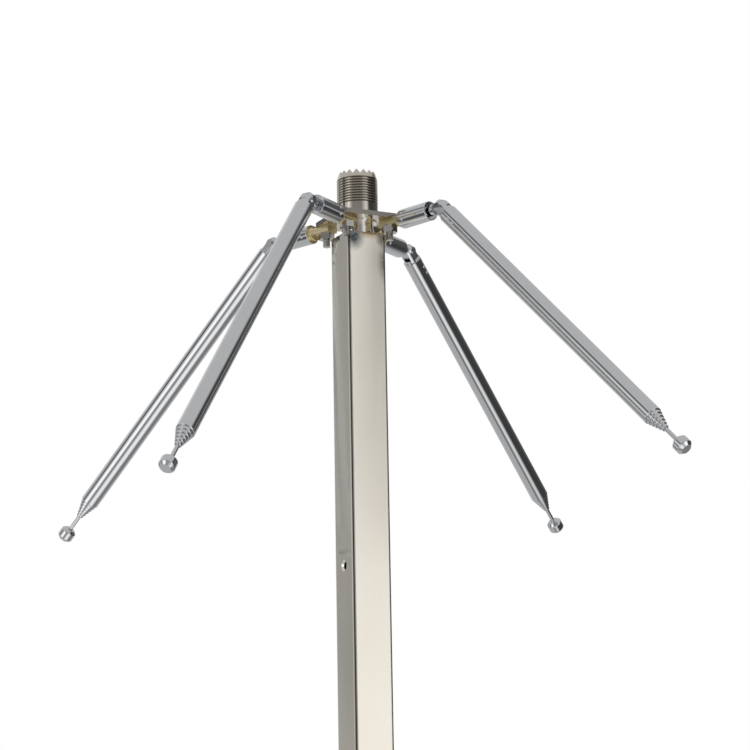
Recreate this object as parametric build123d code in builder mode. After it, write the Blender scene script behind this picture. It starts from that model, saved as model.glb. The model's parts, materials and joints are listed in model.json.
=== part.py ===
"""Broadband receiving antenna: a threaded coaxial socket on a square mast, with four telescopic whips.

Millimetres. The origin is the centre of the socket flange's top face. +Z runs up the socket's axis.
-Y is the front, and an azimuth is counted from -Y towards +X.
"""

import os
from math import cos, radians, sin

from build123d import *

# Socket: a 5/8-24 barrel on a one inch square flange
thread_diameter = 15.875
barrel_height = 18.3
barrel_tip_diameter = 13.9
barrel_taper_height = 3.2
tooth_count = 16
tooth_depth = 1.8
tooth_azimuth = -27.5
shell_bore = 12.4
shell_bore_floor = 4.0
shell_rear_bore = 9.0
flange_side = 25.4
flange_thickness = 1.8
flange_corner_radius = 2.0
hole_spacing = 18.2
boss_diameter = 14.8
boss_height = 0.5
rear_diameter = 12.2
rear_end = -13.4

# Insulator and centre contact
insulator_diameter = 11.8
insulator_face = 7.0
insulator_clearance = 0.2
insulator_rear_diameter = 8.4
insulator_rear_end = -11.0
contact_diameter = 6.0
contact_bore = 4.0
contact_floor = 8.0
contact_end = 16.8
contact_slot_width = 0.5
contact_slot_depth = 7.0
tail_diameter = 3.0
tail_end = -20.0
solder_cup_diameter = 2.0
solder_cup_depth = 5.0

# Mast: a square tube closed at its top by a bored plug
mast_side = 16.0
mast_wall = 1.0
mast_corner_radius = 1.2
mast_inner_corner_radius = 0.4
mast_top = -7.4
mast_length = 250.0
mast_hole_diameter = 3.0
mast_hole_sink_diameter = 4.4
mast_hole_height = -136.4
plug_depth = 10.0
plug_floor_bore = 8.0
plug_corner_radius = 1.0
plug_clearance = 0.1

# Screws and nuts: M3, countersunk, one at each flange corner
screw_diameter = 2.9
screw_length = 10.0
screw_hole_diameter = 3.2
head_diameter = 5.6
head_clearance = 0.05
driver_recess_diameter = 3.0
driver_recess_width = 0.6
driver_recess_depth = 0.9
nut_across_flats = 5.5
nut_height = 2.4
nut_bore = 3.0

# Stud: a brass bar with a flat tongue that is clamped under the flange
stud_diameter = 5.5
tongue_thickness = 2.8
tongue_inner_end = -3.1
tongue_outer_end = 5.8
stud_plug_diameter = 6.9
stud_plug_end = 14.0

# Sleeve: a tube crimped onto the stud, in which the elbow's neck turns
sleeve_start = 7.6
sleeve_end = 22.6
sleeve_diameter = 7.5
sleeve_lip_start = 19.6
sleeve_lip_end = 20.7
sleeve_rim_radius = 0.25

# Elbow: a neck with a flat knuckle, held by a rivet between the cheeks of a fork
elbow_reach = 28.4
neck_diameter = 4.6
neck_head_diameter = 6.6
neck_head_start = 16.0
knuckle_radius = 2.9
knuckle_width = 3.6
knuckle_thickness = 2.4
knuckle_gap = 0.08
cheek_span = 5.2
fork_diameter = 6.2
fork_slot_depth = 3.2
rivet_diameter = 1.6
rivet_head_diameter = 3.0
rivet_head_height = 0.5
running_clearance = 0.05
turning_gap = 0.3

# Whip: six tubes and a tip rod, all pushed home
tube_diameters = [7.2, 6.3, 5.4, 4.5, 3.6, 2.7]
tube_wall = 0.25
tube_start = 4.4
tube_end = 131.5
stage_step = 1.45
tip_rod_gap = 6.65
stage_rim_radius = 0.3
inner_start = 13.4
collar_length = 5.0
fork_plug_end = 12.4
tip_rod_diameter = 1.6
tip_collar_length = 3.0
button_diameter = 6.2
button_length = 5.2
button_bevel = 1.1
button_rim_radius = 0.5
button_hole_depth = 3.6

# Pressed dimples, in pairs on two sides: side by side on a sleeve, in line along a tube
dimple_ball_radius = 0.75
dimple_centre_outside = 0.35
sleeve_dimple_angles = [-20, 20, 160, 200]
sleeve_dimple_heights = [10.2]
tube_dimple_angles = [0, 180]
tube_dimple_heights = [8.3, 11.1]

# Each whip as it stands: its corner, the arm's azimuth, the neck's turn and the elbow's fold
whips = {
    "front_left": (-1, -1, -56.6, -0.3, 51.9),
    "front_right": (1, -1, 18.1, 7.4, 46.8),
    "rear_right": (1, 1, 121.3, 0.1, 39.3),
    "rear_left": (-1, 1, -158.6, 7.8, 44.6),
}

# Sizes that follow from those above
arm_height = -flange_thickness - tongue_thickness / 2
nut_top = -flange_thickness - tongue_thickness
head_height = (head_diameter - screw_diameter) / 2
mast_bottom = mast_top - mast_length
mast_inner = mast_side - 2 * mast_wall
sleeve_bore = stud_plug_diameter
neck_bore = neck_diameter + 2 * running_clearance
rivet_bore = rivet_diameter + 2 * running_clearance
tube_bores = [diameter - 2 * tube_wall for diameter in tube_diameters]
tip_diameters = tube_diameters[1:] + [tip_rod_diameter]
button_start = tube_end + (len(tube_diameters) - 1) * stage_step + tip_rod_gap


def bar(start, end, diameter, mode=Mode.ADD):
    """A round bar along Z, in the part that is being built."""
    with BuildSketch(Plane.XY.offset(start)) as section:
        Circle(diameter / 2)
    extrude(section.sketch, amount=end - start, mode=mode)


def ring(start, end, outer, inner):
    """A round tube along Z, in the part that is being built."""
    with BuildSketch(Plane.XY.offset(start)) as section:
        Circle(outer / 2)
        Circle(inner / 2, mode=Mode.SUBTRACT)
    extrude(section.sketch, amount=end - start)


def dimple_centres(diameter, angles, heights):
    """The centres of the balls that press dimples into a tube."""
    radius = diameter / 2 + dimple_centre_outside
    places = [(radius * cos(radians(angle)), radius * sin(radians(angle))) for angle in angles]
    return [(x, y, height) for x, y in places for height in heights]


sleeve_dimples = dimple_centres(sleeve_diameter, sleeve_dimple_angles, sleeve_dimple_heights)
tube_dimples = dimple_centres(tube_diameters[0], tube_dimple_angles, tube_dimple_heights)


def dimpled_tube(start, end, outer, inner, dimples):
    """A tube whose wall is pressed inwards at its dimples."""
    ring(start, end, outer, inner)
    with Locations(*dimples):
        Sphere(dimple_ball_radius + tube_wall)
    bar(start, end, outer, Mode.INTERSECT)
    with Locations(*dimples):
        Sphere(dimple_ball_radius, mode=Mode.SUBTRACT)


def screw_corners():
    """The centres of the flange's four holes."""
    return [(x * hole_spacing / 2, y * hole_spacing / 2) for x, y, *_ in whips.values()]


# Socket shell: flange, toothed barrel and rear sleeve in one
with BuildPart() as socket_body:
    with BuildSketch(Plane.XY.offset(-flange_thickness)):
        RectangleRounded(flange_side, flange_side, flange_corner_radius)
        with Locations(*screw_corners()):
            Circle(screw_hole_diameter / 2, mode=Mode.SUBTRACT)
    extrude(amount=flange_thickness)
    with BuildSketch(Plane.XZ):
        with BuildLine():
            Polyline(
                (0, 0),
                (thread_diameter / 2, 0),
                (thread_diameter / 2, barrel_height - barrel_taper_height),
                (barrel_tip_diameter / 2, barrel_height),
                (0, barrel_height),
                close=True,
            )
        make_face()
    revolve(axis=Axis.Z)
    bar(-flange_thickness - boss_height, -flange_thickness, boss_diameter)
    bar(rear_end, -flange_thickness, rear_diameter)
    bar(shell_bore_floor, barrel_height, shell_bore, Mode.SUBTRACT)
    bar(rear_end, shell_bore_floor, shell_rear_bore, Mode.SUBTRACT)
    for x, y in screw_corners():
        with BuildSketch(Plane((x, y, 0))):
            Circle(head_diameter / 2 + head_clearance)
        with BuildSketch(Plane((x, y, -head_height))):
            Circle(screw_diameter / 2 + head_clearance)
        loft(mode=Mode.SUBTRACT)
    notch_half_width = barrel_tip_diameter / 2 * sin(radians(180 / tooth_count))
    for step in range(tooth_count // 2):
        notch_azimuth = tooth_azimuth + (step + 0.5) * 360 / tooth_count
        with BuildSketch(Plane.XZ.rotated((0, 0, notch_azimuth))):
            with BuildLine():
                Polyline(
                    (0, barrel_height - tooth_depth),
                    (2 * notch_half_width, barrel_height + tooth_depth),
                    (-2 * notch_half_width, barrel_height + tooth_depth),
                    close=True,
                )
            make_face()
        extrude(amount=thread_diameter, both=True, mode=Mode.SUBTRACT)

with BuildPart() as socket_insulator:
    bar(shell_bore_floor, insulator_face, insulator_diameter)
    bar(insulator_rear_end, shell_bore_floor, insulator_rear_diameter)
    bar(insulator_rear_end, insulator_face, tail_diameter + insulator_clearance, Mode.SUBTRACT)

with BuildPart() as socket_contact:
    bar(insulator_face, contact_end, contact_diameter)
    bar(tail_end, insulator_face, tail_diameter)
    bar(contact_floor, contact_end, contact_bore, Mode.SUBTRACT)
    bar(tail_end, tail_end + solder_cup_depth, solder_cup_diameter, Mode.SUBTRACT)
    with BuildSketch(Plane.XY.offset(contact_end - contact_slot_depth)):
        Rectangle(2 * contact_diameter, contact_slot_width)
        Rectangle(contact_slot_width, 2 * contact_diameter)
    extrude(amount=contact_slot_depth, mode=Mode.SUBTRACT)

# Mast and the plug that holds the socket in its top
with BuildPart() as mast:
    with BuildSketch(Plane.XY.offset(mast_bottom)):
        RectangleRounded(mast_side, mast_side, mast_corner_radius)
        RectangleRounded(mast_inner, mast_inner, mast_inner_corner_radius, mode=Mode.SUBTRACT)
    extrude(amount=mast_length)
    with BuildSketch(Plane.YZ.offset(-mast_side / 2)):
        with Locations((0, mast_hole_height)):
            Circle(mast_hole_diameter / 2)
    extrude(amount=mast_wall, mode=Mode.SUBTRACT)
    sink_depth = (mast_hole_sink_diameter - mast_hole_diameter) / 2
    with BuildSketch(Plane.YZ.offset(-mast_side / 2)):
        with Locations((0, mast_hole_height)):
            Circle(mast_hole_sink_diameter / 2)
    with BuildSketch(Plane.YZ.offset(-mast_side / 2 + sink_depth)):
        with Locations((0, mast_hole_height)):
            Circle(mast_hole_diameter / 2)
    loft(mode=Mode.SUBTRACT)

with BuildPart() as mast_plug:
    with BuildSketch(Plane.XY.offset(mast_top - plug_depth)):
        RectangleRounded(mast_inner, mast_inner, plug_corner_radius)
    extrude(amount=plug_depth)
    bar(rear_end, mast_top, rear_diameter + 2 * plug_clearance, Mode.SUBTRACT)
    bar(mast_top - plug_depth, rear_end, plug_floor_bore, Mode.SUBTRACT)

# Screws and nuts, each a group of four
with BuildPart() as flange_screws:
    for x, y in screw_corners():
        with BuildSketch(Plane((x, y, -screw_length))):
            Circle(screw_diameter / 2)
        extrude(amount=screw_length - head_height)
        with BuildSketch(Plane((x, y, -head_height))):
            Circle(screw_diameter / 2)
        with BuildSketch(Plane((x, y, 0))):
            Circle(head_diameter / 2)
        loft()
        with BuildSketch(Plane((x, y, -driver_recess_depth))):
            Rectangle(driver_recess_diameter, driver_recess_width)
            Rectangle(driver_recess_width, driver_recess_diameter)
        extrude(amount=driver_recess_depth, mode=Mode.SUBTRACT)

with BuildPart() as flange_nuts:
    for x_side, y_side, azimuth, *_ in whips.values():
        corner = (x_side * hole_spacing / 2, y_side * hole_spacing / 2, nut_top - nut_height)
        with BuildSketch(Plane(corner)):
            RegularPolygon(nut_across_flats / 2, 6, major_radius=False, rotation=azimuth)
            Circle(nut_bore / 2, mode=Mode.SUBTRACT)
        extrude(amount=nut_height)

# Arm pieces, built along Z from the screw's axis, with Y up and X across
with BuildPart() as stud:
    bar(tongue_inner_end, sleeve_start, stud_diameter)
    tongue_middle = (tongue_inner_end + tongue_outer_end) / 2
    for side in (-1, 1):
        with BuildSketch(Plane.XZ.offset(side * tongue_thickness / 2)):
            with Locations((0, tongue_middle)):
                Rectangle(stud_diameter, tongue_outer_end - tongue_inner_end)
        extrude(amount=side * stud_diameter, mode=Mode.SUBTRACT)
    with BuildSketch(Plane.XZ):
        Circle(screw_hole_diameter / 2)
    extrude(amount=stud_diameter, both=True, mode=Mode.SUBTRACT)
    bar(sleeve_start, stud_plug_end, stud_plug_diameter)
    with Locations(*sleeve_dimples):
        Sphere(dimple_ball_radius + tube_wall, mode=Mode.SUBTRACT)

with BuildPart() as sleeve:
    dimpled_tube(sleeve_start, sleeve_end, sleeve_diameter, sleeve_bore, sleeve_dimples)
    rims = sleeve.edges().filter_by(GeomType.CIRCLE).group_by(SortBy.RADIUS)[-1]
    fillet(rims, radius=sleeve_rim_radius)
    ring(sleeve_lip_start, sleeve_lip_end, sleeve_bore, neck_bore)

with BuildPart() as friction_washer:
    ring(stud_plug_end, neck_head_start, neck_head_diameter, neck_diameter)

# Elbow pieces, built along Z from the rivet's axis, with X along the rivet
with BuildPart() as neck:
    bar(neck_head_start - elbow_reach, sleeve_lip_start - elbow_reach, neck_head_diameter)
    bar(sleeve_lip_start - elbow_reach, -knuckle_radius - turning_gap, neck_diameter)
    with BuildSketch(Plane.YZ.offset(-knuckle_thickness / 2)):
        Circle(knuckle_radius)
        with Locations((0, -knuckle_radius)):
            Rectangle(knuckle_width, 2 * knuckle_radius)
        Circle(rivet_bore / 2, mode=Mode.SUBTRACT)
    extrude(amount=knuckle_thickness)

with BuildPart() as fork:
    Sphere(fork_diameter / 2)
    bar(0, tube_start, fork_diameter)
    with BuildSketch(Plane.YZ.offset(-cheek_span / 2)):
        Circle(fork_diameter / 2)
        with Locations((0, tube_start / 2)):
            Rectangle(fork_diameter, tube_start)
    extrude(amount=cheek_span, mode=Mode.INTERSECT)
    bar(tube_start, fork_plug_end, tube_bores[0])
    slot_width = knuckle_thickness + 2 * knuckle_gap
    with BuildSketch(Plane.YZ.offset(-slot_width / 2)):
        with Locations((0, (fork_slot_depth - fork_diameter) / 2)):
            Rectangle(2 * fork_diameter, fork_slot_depth + fork_diameter)
    extrude(amount=slot_width, mode=Mode.SUBTRACT)
    with BuildSketch(Plane.YZ):
        Circle(rivet_bore / 2)
    extrude(amount=cheek_span, both=True, mode=Mode.SUBTRACT)
    with Locations(*tube_dimples):
        Sphere(dimple_ball_radius + tube_wall, mode=Mode.SUBTRACT)

with BuildPart() as hinge_rivet:
    with BuildSketch(Plane.YZ.offset(-cheek_span / 2)):
        Circle(rivet_diameter / 2)
    extrude(amount=cheek_span)
    for side in (-1, 1):
        with BuildSketch(Plane.YZ.offset(side * cheek_span / 2)):
            Circle(rivet_head_diameter / 2)
        extrude(amount=side * rivet_head_height)

# Whip pieces, built along Z from the rivet's axis
telescope = []
for stage, (diameter, bore, next_diameter) in enumerate(zip(tube_diameters, tube_bores, tip_diameters)):
    end = tube_end + stage * stage_step
    with BuildPart() as tube:
        if stage == 0:
            dimpled_tube(tube_start, end - stage_step, diameter, bore, tube_dimples)
        else:
            ring(inner_start, end - stage_step, diameter, bore)
        ring(end - stage_step, end, diameter, next_diameter + 2 * running_clearance)
        rim = tube.edges().filter_by(GeomType.CIRCLE).group_by(Axis.Z)[-1].sort_by(SortBy.RADIUS)[-1]
        fillet(rim, radius=stage_rim_radius)
        if stage > 0:
            collar = tube_bores[stage - 1] - 2 * running_clearance
            ring(inner_start, inner_start + collar_length, collar, bore)
    telescope.append(tube.part)

with BuildPart() as tip_rod:
    bar(inner_start, button_start + button_hole_depth, tip_rod_diameter)
    tip_collar = tube_bores[-1] - 2 * running_clearance
    bar(inner_start, inner_start + tip_collar_length, tip_collar)

with BuildPart() as tip_button:
    bar(button_start, button_start + button_length, button_diameter)
    chamfer(tip_button.edges().filter_by(GeomType.CIRCLE), length=button_bevel)
    rims = tip_button.edges().filter_by(GeomType.CIRCLE).group_by(SortBy.RADIUS)[-1]
    fillet(rims, radius=button_rim_radius)
    bar(button_start, button_start + button_hole_depth, tip_rod_diameter, Mode.SUBTRACT)


def arm_location(x_side, y_side, azimuth):
    """Where an arm's own Z, Y and X stand: outwards, up and across, from its screw."""
    turn = radians(azimuth)
    corner = (x_side * hole_spacing / 2, y_side * hole_spacing / 2, arm_height)
    return Plane(corner, x_dir=(cos(turn), sin(turn), 0), z_dir=(sin(turn), -cos(turn), 0)).location


def save(solid, name):
    """Write one node."""
    solid.label = name
    export_step(solid, f"parts/{name}.step")


os.makedirs("parts", exist_ok=True)
save(socket_body.part, "socket_body")
save(socket_insulator.part, "socket_insulator")
save(socket_contact.part, "socket_contact")
save(mast.part, "mast")
save(mast_plug.part, "mast_plug")
save(flange_screws.part, "flange_screws")
save(flange_nuts.part, "flange_nuts")

washers = []
for whip, (x_side, y_side, azimuth, swivel, fold) in whips.items():
    arm = arm_location(x_side, y_side, azimuth)
    elbow = arm * Location((0, 0, elbow_reach), (0, 0, swivel))
    rod = elbow * Location((0, 0, 0), (fold, 0, 0))
    washers.append(friction_washer.part.moved(arm))
    save(stud.part.moved(arm), f"stud_{whip}")
    save(sleeve.part.moved(arm), f"sleeve_{whip}")
    save(neck.part.moved(elbow), f"neck_{whip}")
    save(fork.part.moved(rod), f"fork_{whip}")
    save(hinge_rivet.part.moved(rod), f"hinge_rivet_{whip}")
    for stage, solid in enumerate(telescope, start=1):
        save(solid.moved(rod), f"tube_{stage}_{whip}")
    save(tip_rod.part.moved(rod), f"tip_rod_{whip}")
    save(tip_button.part.moved(rod), f"tip_button_{whip}")
save(Compound(children=washers), "friction_washers")
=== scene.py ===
"""The look of the broadband receiving antenna: cut threads, metals, studio and camera.

Metres. The frame is that of the CAD model: the origin is the centre of the socket flange's top
face, +Z runs up the socket's axis and -Y is the front. An azimuth is counted from -Y towards +X.
"""

import json
from math import cos, pi, radians, sin

import bmesh
import bpy
from mathutils import Matrix, Vector


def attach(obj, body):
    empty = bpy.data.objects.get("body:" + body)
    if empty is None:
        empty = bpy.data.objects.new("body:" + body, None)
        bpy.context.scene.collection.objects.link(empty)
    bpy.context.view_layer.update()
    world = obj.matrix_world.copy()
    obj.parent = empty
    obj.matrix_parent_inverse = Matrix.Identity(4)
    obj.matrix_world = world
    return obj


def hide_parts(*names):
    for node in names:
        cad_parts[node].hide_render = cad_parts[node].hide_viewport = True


mm = 0.001

# Camera, fitted to the photograph
camera_place = Vector((-487.23, -1002.563, -330.369)) * mm
camera_right = Vector((0.89882, -0.43801, -0.01666))
camera_up = Vector((-0.08792, -0.2174, 0.97211))
camera_lens = 144
camera_sensor = 36

# Arms: corner, azimuth, turn of the neck and fold of the elbow, in degrees
whips = {
    "front_left": (-1, -1, -56.6, -0.3, 51.9),
    "front_right": (1, -1, 18.1, 7.4, 46.8),
    "rear_right": (1, 1, 121.3, 0.1, 39.3),
    "rear_left": (-1, 1, -158.6, 7.8, 44.6),
}
screw_offset = 9.1 * mm
arm_height = -3.2 * mm
elbow_reach = 28.4 * mm

# Threads, with their grooves' steps in a turn
barrel_radius = 7.9375 * mm
barrel_pitch = 25.4 / 24 * mm
barrel_thread_start = 4.7 * mm
barrel_thread_end = 15.9 * mm
barrel_thread_depth = 0.62 * mm
barrel_thread_steps = 96
screw_radius = 1.45 * mm
screw_pitch = 0.5 * mm
screw_thread_start = -10.2 * mm
screw_thread_end = -2.4 * mm
screw_thread_depth = 0.26 * mm
screw_thread_steps = 24

# A groove's section in parts of its pitch and depth, and the turns over which it fades
groove_half_width = 0.46
groove_floor_half_width = 0.055
groove_overhang = 0.3
groove_fade_turns = 0.5
groove_least_fade = 0.02

# Cut pieces: faces closer than this are joined, and edges sharper than this in degrees stay sharp
merge_distance = 0.001 * mm
sharp_angle = 30

# Sockets of a mix node that take and give colours, after those for numbers and vectors
mix_inputs = (6, 7)
mix_output = 2

# Ranges that values are carried from and to
rising = (0, 1)
falling = (1, 0)
cloud_range = (0.3, 0.7)

# Mast's sheet: clouded, with a painted dark reflection down the mast's corners, satin in front and brighter
# at the sides
sheet_dull = (0.86, 0.81, 0.71)
sheet_pale = (0.96, 0.92, 0.83)
sheet_cloud_range = (0.35, 0.65)
corner_reflection_band = (7.3 * mm, 7.5 * mm)
corner_reflection_colour = (0.05, 0.048, 0.045)
side_step = 0.2 * mm
satin_roughness = 0.30
side_roughness = 0.05
roughness_clouding = (-0.02, 0.03)

# Heat tint and a painted reflection at the mast's top: patches, each a centre and a reach in millimetres,
# and a colour
heat_tint_and_reflection_patches = (
    ((0.5, -8.0, -7.6), (7.0, 1.6, 2.6), (0.62, 0.50, 0.30)),
    ((1.0, -8.0, -7.3), (6.5, 1.6, 1.2), (0.24, 0.15, 0.09)),
    ((-5.6, -8.0, -9.6), (5.0, 1.6, 6.0), (0.07, 0.085, 0.10)),
    # A painted reflection of the front-right stud: a grey streak low on the right of the front face
    ((7.6, -8.0, -19.0), (3.6, 1.6, 9.0), (0.30, 0.28, 0.25)),
    ((6.4, -8.0, -9.6), (3.0, 1.6, 4.0), (0.26, 0.22, 0.17)),
    ((-8.0, 3.0, -7.6), (1.6, 6.0, 1.4), (0.40, 0.34, 0.27)),
)
patch_fade = (0.25, 1)
mottle_range = (0.35, 0.55)
mottle_least = 0.8

# Socket's plating: painted shade in the thread's grooves, a dull cut edge round the flange and a pale rear
# sleeve
groove_shade_colour = (0.27, 0.245, 0.20)
groove_shade_depth = (barrel_radius - barrel_thread_depth, barrel_radius - 0.1 * mm)
groove_shade_from_bore = (7.0 * mm, 7.1 * mm)
groove_shade_bottom = (barrel_thread_start - 0.4 * mm, barrel_thread_start)
groove_shade_top = (barrel_thread_end - 0.7 * mm, barrel_thread_end - 0.5 * mm)
cut_edge = (12.5 * mm, 12.6 * mm)
cut_edge_colour = (0.24, 0.225, 0.20)
rear_edge = (-2.0 * mm, -1.9 * mm)
rear_colour = (0.80, 0.77, 0.72)

# Studio's walls, which go over from ground to sky between two heights of a direction
sky_brightness = 0.56
ground_brightness = 0.50
horizon = (-0.6, -0.2)

# Cards seen by the metal, each a direction (azimuth, elevation), a half angle, the width of its
# soft edge, all in degrees, and a brightness
cards = {
    "front_dark": (-28, 12, 24, 12, 0.26),
    "right": (65, -9, 36, 13, 0.055),
    "right_edge": (100, 18, 12, 14, 0.09),
    "low_right": (86, -49, 17, 11, 0.24),
    "low_front": (-5, -52, 14, 11, 1.08),
    "low_left": (-73, -6, 11, 8, 1.3),
    "low_left_gap": (-52, -33, 3, 6, 0.24),
    "left_slot": (-84, 30, 4, 5, 0.09),
    "left_band": (-95, 13, 2, 3, 0.93),
    "left_edge": (-112, 4, 4, 4, 0.09),
    "left_edge_high": (-107, 18, 4, 6, 0.09),
    "rear_left": (-122, -25, 9, 8, 0.10),
    "rear_left_high": (-124, 31, 4, 5, 0.18),
    "low_rear": (-152, -9, 9, 7, 0.27),
    "rear_top": (-176, 34, 8, 10, 0.7),
    "under": (-60, -80, 6, 6, 0.2),
    "front": (26, -4, 9, 16, 1.35),
    "left_high": (-77, 15, 4, 5, 1.0),
    "rear_left_wall": (-154, 15, 7, 5, 0.32),
}

# White backdrop as the metal sees it: its direction, half angle and soft edge
backdrop_card = (153.8, 13.5, 7, 1)

# Key lamp: its direction in degrees, its distance and side in metres, and its power in watts
key_azimuth = 60
key_elevation = 55
key_distance = 2.0
key_side = 1.2
key_power = 12

# Floor, and the light that it adds to what the camera sees of it
floor_height = -0.9
floor_side = 80
floor_lift = 0.3

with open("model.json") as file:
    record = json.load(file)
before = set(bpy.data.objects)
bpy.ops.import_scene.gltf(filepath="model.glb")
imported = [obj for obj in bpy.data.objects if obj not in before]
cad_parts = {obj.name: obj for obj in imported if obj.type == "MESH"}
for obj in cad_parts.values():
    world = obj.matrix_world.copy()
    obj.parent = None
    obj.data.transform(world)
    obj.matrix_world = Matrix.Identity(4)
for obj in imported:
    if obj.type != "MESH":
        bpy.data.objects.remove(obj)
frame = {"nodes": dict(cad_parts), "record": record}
nodes = frame["nodes"]
slots = {part["node"]: part["material_slot"] for part in frame["record"]["subparts"]}
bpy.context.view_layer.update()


def arm_matrix(x_side, y_side, azimuth):
    """The frame of an arm: X across, Y up and Z outwards from its screw."""
    turn = radians(azimuth)
    across = Vector((cos(turn), sin(turn), 0))
    outwards = Vector((sin(turn), -cos(turn), 0))
    matrix = Matrix((across, Vector((0, 0, 1)), outwards)).transposed().to_4x4()
    matrix.translation = Vector((x_side * screw_offset, y_side * screw_offset, arm_height))
    return matrix


def node_frames():
    """The frame in which each node's surface is textured: its own axis is Z."""
    frames = {name: Matrix.Identity(4) for name in nodes}
    for whip, (x_side, y_side, azimuth, swivel, fold) in whips.items():
        arm = arm_matrix(x_side, y_side, azimuth)
        elbow = arm @ Matrix.Translation((0, 0, elbow_reach)) @ Matrix.Rotation(radians(swivel), 4, "Z")
        rod = elbow @ Matrix.Rotation(radians(fold), 4, "X")
        for name in nodes:
            if name in (f"stud_{whip}", f"sleeve_{whip}"):
                frames[name] = arm
            elif name == f"neck_{whip}":
                frames[name] = elbow
            elif name.endswith(whip):
                frames[name] = rod
    return frames


def store_own_place(piece, matrix):
    """Keep each vertex's place in the piece's own frame, for its material."""
    back = matrix.inverted()
    own = piece.data.attributes.new("own_place", "FLOAT_VECTOR", "POINT")
    for item, vertex in zip(own.data, piece.data.vertices):
        item.vector = back @ vertex.co


# Threads, cut as helical grooves
def groove(name, axis_x, axis_y, radius, pitch, start, end, depth, steps):
    """A helical cutter with a V section that fades in and out at its ends."""
    half_width = pitch * groove_half_width
    floor_half_width = pitch * groove_floor_half_width
    fade_steps = steps * groove_fade_turns
    count = int((end - start) / pitch * steps)
    points = []
    for step in range(count + 1):
        angle = 2 * pi * step / steps
        height = start + pitch * step / steps
        fade = min(1, step / fade_steps, (count - step) / fade_steps)
        floor_radius = radius - depth * max(fade, groove_least_fade)
        top_radius = radius + depth * groove_overhang
        section = (
            (floor_radius, -floor_half_width),
            (floor_radius, floor_half_width),
            (top_radius, half_width),
            (top_radius, -half_width),
        )
        for distance, along in section:
            x = axis_x + distance * cos(angle)
            y = axis_y + distance * sin(angle)
            points.append((x, y, height + along))
    faces = [(3, 2, 1, 0), tuple(4 * count + side for side in range(4))]
    for step in range(count):
        for side in range(4):
            here, after = 4 * step + side, 4 * step + (side + 1) % 4
            faces.append((here, after, after + 4, here + 4))
    mesh = bpy.data.meshes.new(name)
    mesh.from_pydata(points, [], faces)
    cutter = bpy.data.objects.new(name, mesh)
    bpy.context.scene.collection.objects.link(cutter)
    return cutter


def copy_of(node, name):
    """A copy of a CAD node with its faces joined at their edges, to be cut."""
    work = bmesh.new()
    work.from_mesh(nodes[node].data)
    bmesh.ops.remove_doubles(work, verts=work.verts, dist=merge_distance)
    work.verts.index_update()
    points = [vertex.co.copy() for vertex in work.verts]
    faces = [[vertex.index for vertex in face.verts] for face in work.faces]
    work.free()
    mesh = bpy.data.meshes.new(name)
    mesh.from_pydata(points, [], faces)
    piece = bpy.data.objects.new(name, mesh)
    bpy.context.scene.collection.objects.link(piece)
    return piece


def cut(piece, cutters):
    """Cut grooves from a piece and drop the cutters."""
    for cutter in cutters:
        modifier = piece.modifiers.new("cut", "BOOLEAN")
        modifier.operation = "DIFFERENCE"
        modifier.solver = "EXACT"
        modifier.object = cutter
    graph = bpy.context.evaluated_depsgraph_get()
    mesh = bpy.data.meshes.new_from_object(piece.evaluated_get(graph))
    piece.modifiers.clear()
    piece.data = mesh
    mesh.shade_smooth()
    mesh.set_sharp_from_angle(angle=radians(sharp_angle))
    for cutter in cutters:
        bpy.data.objects.remove(cutter)


def threaded_socket():
    """The socket's shell with its barrel thread."""
    shell = copy_of("socket_body", "socket_shell")
    cutter = groove(
        "barrel_groove", 0, 0, barrel_radius, barrel_pitch,
        barrel_thread_start, barrel_thread_end, barrel_thread_depth, barrel_thread_steps,
    )
    cut(shell, [cutter])
    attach(shell, "hub")
    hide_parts("socket_body")
    return shell


def threaded_screws():
    """The four screws with their threads."""
    screws = copy_of("flange_screws", "threaded_screws")
    cutters = [
        groove(
            f"screw_groove_{whip}", x_side * screw_offset, y_side * screw_offset, screw_radius, screw_pitch,
            screw_thread_start, screw_thread_end, screw_thread_depth, screw_thread_steps,
        )
        for whip, (x_side, y_side, *_) in whips.items()
    ]
    cut(screws, cutters)
    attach(screws, "hub")
    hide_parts("flange_screws")
    return screws


# Material parts
def new_material(name, colour, metallic, roughness):
    """A material with its node tree, shader and own-place texture coordinates."""
    material = bpy.data.materials.new(name)
    material.use_nodes = True
    tree = material.node_tree
    shader = tree.nodes["Principled BSDF"]
    shader.inputs["Base Color"].default_value = (*colour, 1)
    shader.inputs["Metallic"].default_value = metallic
    shader.inputs["Roughness"].default_value = roughness
    place = tree.nodes.new("ShaderNodeAttribute")
    place.attribute_name = "own_place"
    return material, tree, shader, place.outputs["Vector"]


def scaled(tree, vector, scale, location=(0, 0, 0)):
    """A vector with its parts scaled, and then moved."""
    node = tree.nodes.new("ShaderNodeMapping")
    node.inputs["Scale"].default_value = scale
    node.inputs["Location"].default_value = location
    tree.links.new(vector, node.inputs["Vector"])
    return node.outputs["Vector"]


def noise(tree, place, scale, stretch=(1, 1, 1), detail=3.0):
    """A noise texture, with its coordinates stretched along the piece's own axes."""
    node = tree.nodes.new("ShaderNodeTexNoise")
    node.inputs["Scale"].default_value = scale
    node.inputs["Detail"].default_value = detail
    tree.links.new(scaled(tree, place, stretch), node.inputs["Vector"])
    return node.outputs["Fac"]


def spread(tree, value, source, target):
    """A value carried from one range to another, and held inside it."""
    node = tree.nodes.new("ShaderNodeMapRange")
    for name, number in zip(("From Min", "From Max", "To Min", "To Max"), source + target):
        node.inputs[name].default_value = number
    tree.links.new(value, node.inputs["Value"])
    return node.outputs["Result"]


def blend(tree, factor, first, second):
    """A mix of two colours, each written out or taken from a node."""
    node = tree.nodes.new("ShaderNodeMix")
    node.data_type = "RGBA"
    tree.links.new(factor, node.inputs["Factor"])
    for index, colour in zip(mix_inputs, (first, second)):
        if isinstance(colour, tuple):
            node.inputs[index].default_value = (*colour, 1)
        else:
            tree.links.new(colour, node.inputs[index])
    return node.outputs[mix_output]


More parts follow.
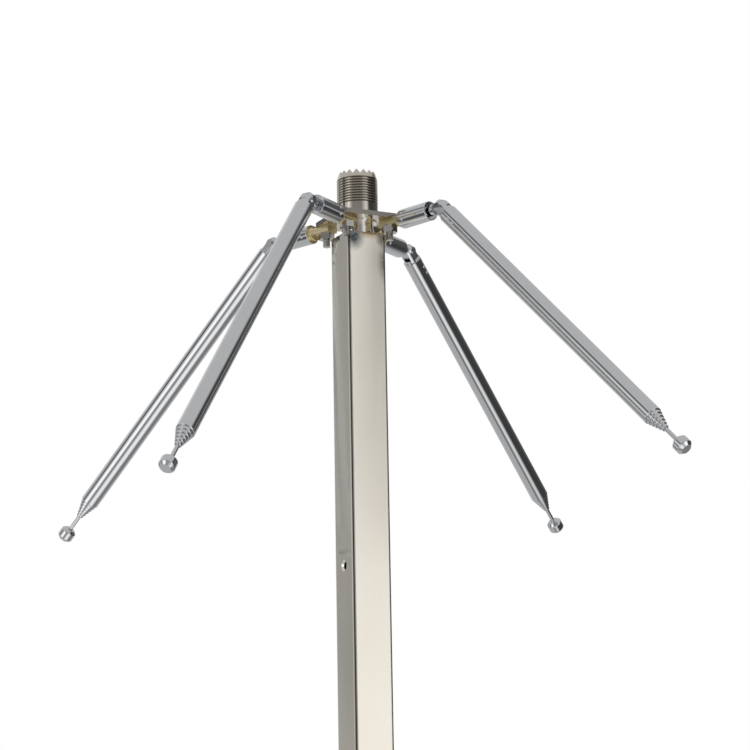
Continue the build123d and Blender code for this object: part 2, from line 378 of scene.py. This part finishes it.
def arithmetic(tree, operation, first, second):
    """A sum, product or other operation on two values."""
    node = tree.nodes.new("ShaderNodeMath")
    node.operation = operation
    tree.links.new(first, node.inputs[0])
    tree.links.new(second, node.inputs[1])
    return node.outputs["Value"]


def product(tree, *values):
    """All the values multiplied together."""
    result = values[0]
    for value in values[1:]:
        result = arithmetic(tree, "MULTIPLY", result, value)
    return result


def length(tree, vector):
    """The length of a vector."""
    node = tree.nodes.new("ShaderNodeVectorMath")
    node.operation = "LENGTH"
    tree.links.new(vector, node.inputs[0])
    return node.outputs["Value"]


def split(tree, vector):
    """The three parts of a vector."""
    node = tree.nodes.new("ShaderNodeSeparateXYZ")
    tree.links.new(vector, node.inputs["Vector"])
    return node.outputs["X"], node.outputs["Y"], node.outputs["Z"]


def bump(tree, shader, height, distance, strength, before=None):
    """A bump on the shader's normal, and the node's output for the next one."""
    node = tree.nodes.new("ShaderNodeBump")
    node.inputs["Distance"].default_value = distance
    node.inputs["Strength"].default_value = strength
    tree.links.new(height, node.inputs["Height"])
    if before is not None:
        tree.links.new(before, node.inputs["Normal"])
    tree.links.new(node.outputs["Normal"], shader.inputs["Normal"])
    return node.outputs["Normal"]


def from_axes(tree, place):
    """The distances from the piece's own two upright middle planes."""
    node = tree.nodes.new("ShaderNodeVectorMath")
    node.operation = "ABSOLUTE"
    tree.links.new(place, node.inputs[0])
    return split(tree, node.outputs["Vector"])[:2]


def heat_tint_and_painted_reflection(tree, place, colour):
    """The mast's colour with its heat tint patches and a painted reflection laid over it."""
    mottle = spread(tree, noise(tree, place, scale=650), mottle_range, (mottle_least, 1))
    for centre, reach, patch in heat_tint_and_reflection_patches:
        scale = [1 / (mm * size) for size in reach]
        location = [-at / size for at, size in zip(centre, reach)]
        distance = length(tree, scaled(tree, place, scale, location))
        strength = product(tree, mottle, spread(tree, distance, patch_fade, falling))
        colour = blend(tree, strength, colour, patch)
    return colour


def socket_wear_and_groove_shade(tree, place, colour):
    """The socket's plating with painted shade in its thread's grooves, its flange's cut edge and its rear
    sleeve.
    """
    across, back = from_axes(tree, place)
    edge = spread(tree, arithmetic(tree, "MAXIMUM", across, back), cut_edge, rising)
    colour = blend(tree, edge, colour, cut_edge_colour)
    height = split(tree, place)[2]
    radius = length(tree, scaled(tree, place, (1, 1, 0)))
    # Painted shade on the floors of the thread's grooves
    groove_shade = product(
        tree,
        spread(tree, radius, groove_shade_depth, falling),
        spread(tree, radius, groove_shade_from_bore, rising),
        spread(tree, height, groove_shade_bottom, rising),
        spread(tree, height, groove_shade_top, falling),
    )
    colour = blend(tree, groove_shade, colour, groove_shade_colour)
    return blend(tree, spread(tree, height, rear_edge, falling), colour, rear_colour)


# Materials
def stainless():
    """Polished stainless sheet: cloudy, slightly wavy, tinted by heat at the mast's top, with painted dark
    reflections down its corners and on its front face.
    """
    material, tree, shader, place = new_material(
        "stainless", colour=(0.72, 0.70, 0.66), metallic=1, roughness=0.2
    )
    cloud = noise(tree, place, scale=45, stretch=(1, 1, 0.25))
    colour = blend(tree, spread(tree, cloud, sheet_cloud_range, rising), sheet_dull, sheet_pale)
    colour = heat_tint_and_painted_reflection(tree, place, colour)
    across, back = from_axes(tree, place)
    # Painted dark reflection down the mast's corners
    corner = spread(tree, arithmetic(tree, "MINIMUM", across, back), corner_reflection_band, rising)
    colour = blend(tree, corner, colour, corner_reflection_colour)
    tree.links.new(colour, shader.inputs["Base Color"])
    sideways = arithmetic(tree, "SUBTRACT", across, back)
    satin = spread(tree, sideways, (-side_step, side_step), (satin_roughness, side_roughness))
    clouding = spread(tree, cloud, cloud_range, roughness_clouding)
    tree.links.new(arithmetic(tree, "ADD", satin, clouding), shader.inputs["Roughness"])
    grain = noise(tree, place, scale=2500, stretch=(1, 1, 0.03))
    normal = bump(tree, shader, grain, distance=0.01 * mm, strength=0.2)
    waves = noise(tree, place, scale=90, stretch=(1, 1, 0.2), detail=1.0)
    bump(tree, shader, waves, distance=0.3 * mm, strength=0.3, before=normal)
    return material


def plated(name, first, second, roughness, wear_and_shade=None):
    """Bright plating over turned metal: fine turning marks, faint clouding, and wear and painted shade if
    it has any.
    """
    material, tree, shader, place = new_material(name, first, metallic=1, roughness=roughness[0])
    cloud = noise(tree, place, scale=350)
    colour = blend(tree, cloud, first, second)
    if wear_and_shade is not None:
        colour = wear_and_shade(tree, place, colour)
    tree.links.new(colour, shader.inputs["Base Color"])
    tree.links.new(spread(tree, cloud, cloud_range, roughness), shader.inputs["Roughness"])
    marks = noise(tree, place, scale=1200, stretch=(0.15, 0.15, 4))
    bump(tree, shader, marks, distance=0.01 * mm, strength=0.2)
    return material


def plastic(name, first, second):
    """Moulded or turned plastic with a faint grain."""
    material, tree, shader, place = new_material(name, first, metallic=0, roughness=0.45)
    cloud = noise(tree, place, scale=500)
    tree.links.new(blend(tree, cloud, first, second), shader.inputs["Base Color"])
    bump(tree, shader, noise(tree, place, scale=3000), distance=0.02 * mm, strength=0.3)
    return material


materials = {
    "stainless": stainless(),
    "nickel": plated("nickel", (0.66, 0.62, 0.55), (0.74, 0.70, 0.63), (0.05, 0.11), socket_wear_and_groove_shade),
    "chrome": plated("chrome", (0.70, 0.71, 0.73), (0.76, 0.77, 0.79), (0.04, 0.09)),
    "brass": plated("brass", (0.80, 0.68, 0.38), (0.92, 0.82, 0.55), (0.30, 0.40)),
    "plated_steel": plated("plated_steel", (0.52, 0.51, 0.49), (0.66, 0.65, 0.63), (0.05, 0.12)),
    "insulation": plastic("insulation", (0.80, 0.79, 0.76), (0.86, 0.85, 0.82)),
    "washer": plastic("washer", (0.10, 0.10, 0.11), (0.14, 0.14, 0.15)),
}


# Studio
def direction(azimuth, elevation):
    """The direction that has an azimuth and an elevation."""
    turn, rise = radians(azimuth), radians(elevation)
    return Vector((sin(turn) * cos(rise), -cos(turn) * cos(rise), sin(rise)))


def card_mask(tree, place, azimuth, elevation, half_angle, edge):
    """1 where a direction lies on a round card, and 0 off it, with a soft edge."""
    node = tree.nodes.new("ShaderNodeVectorMath")
    node.operation = "DOT_PRODUCT"
    tree.links.new(place, node.inputs[0])
    node.inputs[1].default_value = direction(azimuth, elevation)
    card = (cos(radians(half_angle + edge)), cos(radians(half_angle)))
    return spread(tree, node.outputs["Value"], card, rising)


def studio():
    """The surroundings: grey walls with light and dark cards, and a white backdrop behind the object."""
    world = bpy.data.worlds.new("studio")
    bpy.context.scene.world = world
    world.use_nodes = True
    tree = world.node_tree
    place = tree.nodes.new("ShaderNodeTexCoord").outputs["Generated"]
    height = spread(tree, split(tree, place)[2], horizon, rising)
    ground, sky = (ground_brightness,) * 3, (sky_brightness,) * 3
    colour = blend(tree, height, ground, sky)
    for azimuth, elevation, half_angle, edge, brightness in cards.values():
        mask = card_mask(tree, place, azimuth, elevation, half_angle, edge)
        colour = blend(tree, mask, colour, (brightness,) * 3)
    path = tree.nodes.new("ShaderNodeLightPath").outputs
    reflected = arithmetic(tree, "MAXIMUM", path["Is Glossy Ray"], path["Is Transmission Ray"])
    backdrop = product(tree, reflected, card_mask(tree, place, *backdrop_card))
    white = arithmetic(tree, "MAXIMUM", path["Is Camera Ray"], backdrop)
    colour = blend(tree, white, colour, (1, 1, 1))
    tree.links.new(colour, tree.nodes["Background"].inputs["Color"])


def studio_floor():
    """A plain pale floor far below the object, which its metal doesn't mirror."""
    bpy.ops.mesh.primitive_plane_add(size=floor_side, location=(0, 0, floor_height))
    plane = bpy.context.object
    plane.name = "floor"
    material, tree, shader, _ = new_material(
        "floor_paint", colour=(0.82, 0.82, 0.82), metallic=0, roughness=0.8
    )
    path = tree.nodes.new("ShaderNodeLightPath").outputs
    lift = spread(tree, path["Is Camera Ray"], rising, (0, floor_lift))
    shader.inputs["Emission Color"].default_value = (1, 1, 1, 1)
    tree.links.new(lift, shader.inputs["Emission Strength"])
    clear = tree.nodes.new("ShaderNodeBsdfTransparent")
    mix = tree.nodes.new("ShaderNodeMixShader")
    tree.links.new(path["Is Glossy Ray"], mix.inputs["Fac"])
    tree.links.new(shader.outputs["BSDF"], mix.inputs[1])
    tree.links.new(clear.outputs["BSDF"], mix.inputs[2])
    tree.links.new(mix.outputs["Shader"], tree.nodes["Material Output"].inputs["Surface"])
    plane.data.materials.append(material)


def lamp(name, azimuth, elevation, distance, side, power):
    """A square softbox that faces the object, and that its metal doesn't mirror."""
    light = bpy.data.lights.new(name, "AREA")
    light.size = side
    light.energy = power
    holder = bpy.data.objects.new(name, light)
    towards = direction(azimuth, elevation)
    holder.location = towards * distance
    holder.rotation_euler = towards.to_track_quat("Z", "Y").to_euler()
    holder.visible_glossy = False
    bpy.context.scene.collection.objects.link(holder)


def camera():
    """The camera of the photograph."""
    data = bpy.data.cameras.new("camera")
    data.lens = camera_lens
    data.sensor_width = camera_sensor
    holder = bpy.data.objects.new("camera", data)
    back = camera_right.cross(camera_up)
    matrix = Matrix((camera_right, camera_up, back)).transposed().to_4x4()
    matrix.translation = camera_place
    holder.matrix_world = matrix
    bpy.context.scene.collection.objects.link(holder)
    bpy.context.scene.camera = holder


# Everything together
bpy.context.scene.view_settings.view_transform = "Standard"
pieces = {**nodes, "socket_body": threaded_socket(), "flange_screws": threaded_screws()}
frames = node_frames()
for name, piece in pieces.items():
    store_own_place(piece, frames[name])
    piece.data.materials.clear()
    piece.data.materials.append(materials[slots[name]])
studio()
studio_floor()
lamp("key", key_azimuth, key_elevation, key_distance, key_side, key_power)
camera()
